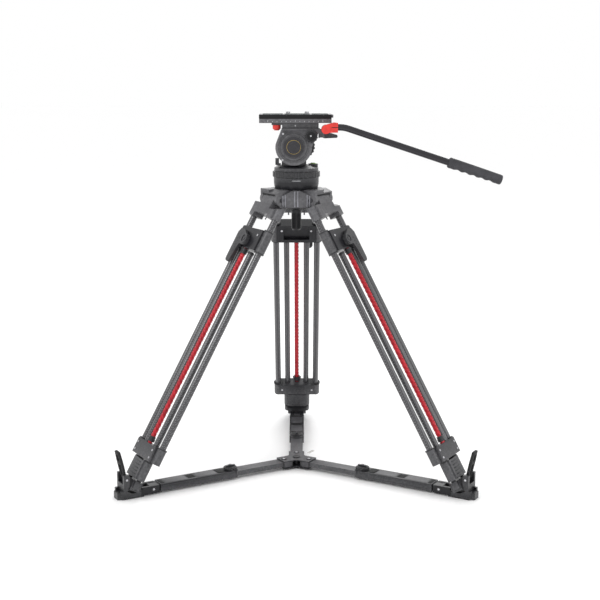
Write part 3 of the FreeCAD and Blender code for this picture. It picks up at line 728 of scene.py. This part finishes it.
BAR_PLANE, BAR_HEIGHT, BAR_START, BAR_TURN = -59.0, 782.5, 74.2, 104.0
BAR_SLOPE, BAR_RADIUS = math.radians(18.4), 7.5
GRIP_START, GRIP_LENGTH = 238.0, 124.0


def bar_centre(s, bend=60.0):
    """Centre and slope of the pan bar s millimetres from its start, with a round bend."""
    tangent = bend * math.tan(BAR_SLOPE / 2)
    straight = BAR_TURN - BAR_START - tangent
    arc = bend * BAR_SLOPE
    turned = BAR_SLOPE * min(1.0, max(0.0, (s - straight) / arc))
    if s <= straight:
        return BAR_START + s, BAR_HEIGHT, 0.0
    x = BAR_START + straight + bend * math.sin(turned)
    z = BAR_HEIGHT - bend * (1 - math.cos(turned))
    rest = max(0.0, s - straight - arc)
    return x + rest * math.cos(turned), z - rest * math.sin(turned), turned


def bar_ring(x, z, slope, radius, sides=40):
    """Ring square to the bar; radius(angle) is measured from the bar's upper side."""
    ring = []
    for k in range(sides):
        angle = 2 * math.pi * k / sides
        reach = radius(angle)
        up, across = reach * math.cos(angle), reach * math.sin(angle)
        ring.append((x + up * math.sin(slope), BAR_PLANE + across, z + up * math.cos(slope)))
    return ring


def grip_radius(s):
    """Radius of the hand grip at s, and how far its finger side is drawn in there."""
    rounding, plain_end, finger_pitch = 4.0, 16.0, 18.4
    ends = min(s, GRIP_LENGTH - s)
    body = 11.7 - 0.9 * (s / GRIP_LENGTH) ** 2
    inward = rounding - min(rounding, ends)
    rounded = rounding - math.sqrt(max(0.0, rounding ** 2 - inward ** 2))
    wave = 0.0
    if plain_end < s < GRIP_LENGTH - plain_end:
        wave = 0.8 * (1 - math.cos(2 * math.pi * (s - plain_end) / finger_pitch))
    return body - rounded, wave


def pan_bar_details():
    bar = piece("pan_bar_tube", "handle", "satin_black_tube", slot="satin_black_tube")
    last, steps = BAR_TURN - BAR_START + GRIP_START + 20.0, 140
    bar.loft([
        bar_ring(*bar_centre(last * k / steps), lambda angle: BAR_RADIUS)
        for k in range(steps + 1)
    ])
    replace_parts(bar.finish(), "pan_bar")
    grip = piece("pan_bar_hand_grip", "handle", "grip_rubber", slot="grip_rubber")
    rings = []
    steps = 150
    for k in range(steps + 1):
        s = GRIP_LENGTH * k / steps
        body, wave = grip_radius(s)
        x = BAR_TURN + (GRIP_START + s) * math.cos(BAR_SLOPE)
        z = BAR_HEIGHT - (GRIP_START + s) * math.sin(BAR_SLOPE)
        groove = 0.5 if any(start < s < start + 1.2 for start in (8.0, 12.0)) else 0.0

        def reach(angle):
            under = max(0.0, -math.cos(angle))
            return body - groove - 1.3 * wave * under ** 1.5

        rings.append(bar_ring(x, z, BAR_SLOPE, reach))
    grip.loft(rings)
    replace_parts(grip.finish(), "pan_bar_grip")


# ---------------------------------------------------------------- studio


def studio():
    """White floor and surroundings, with soft lamps on the left, on the right and behind."""
    floor_size, white = 60.0, (1, 1, 1, 1)
    bpy.ops.mesh.primitive_plane_add(size=floor_size, location=(0, 0, -0.0006))
    floor = bpy.context.object
    floor.name = "studio_floor"
    paint = bpy.data.materials.new("studio_white")
    paint.use_nodes = True
    shader = paint.node_tree.nodes["Principled BSDF"]
    shader.inputs["Base Color"].default_value = white
    shader.inputs["Roughness"].default_value = 0.9
    floor.data.materials.append(paint)
    world = bpy.data.worlds.new("studio")
    world.use_nodes = True
    world.node_tree.nodes["Background"].inputs["Color"].default_value = white
    world.node_tree.nodes["Background"].inputs["Strength"].default_value = 1.0
    bpy.context.scene.world = world
    for name, place, aim, width, power in (
        ("key", (-2.2, -2.2, 2.4), (0, 0, 0.45), 1.2, 26),
        ("fill", (2.6, -1.8, 1.6), (0, 0, 0.45), 1.4, 14),
        ("rim", (0.4, 2.4, 2.2), (0, 0, 0.5), 1.6, 24),
    ):
        lamp = bpy.data.lights.new(name, "AREA")
        lamp.size, lamp.energy = width, power
        light = bpy.data.objects.new(name, lamp)
        light.location = place
        light.rotation_euler = (Vector(aim) - Vector(place)).to_track_quat("-Z", "Y").to_euler()
        bpy.context.scene.collection.objects.link(light)
    bpy.context.scene.view_settings.view_transform = "Standard"


def camera():
    """The photograph's view: 2.7 m away, 0.9 m up and 10.6 degrees down."""
    lens = bpy.data.cameras.new("camera")
    lens.lens, lens.sensor_width = 73.4, 36.0
    lens.clip_end = 100.0
    view = bpy.data.objects.new("camera", lens)
    view.location = (0.0082, -2.7243, 0.9014)
    view.rotation_euler = Euler((math.radians(90 - 10.59), 0, 0))
    bpy.context.scene.collection.objects.link(view)
    bpy.context.scene.camera = view


camera()
studio()
dress_nodes()
for leg, (azimuth, hand) in LEGS.items():
    leg_details(leg, azimuth, hand)
    foot_details(leg, azimuth)
spreader_details()
crown_details()
head_details()
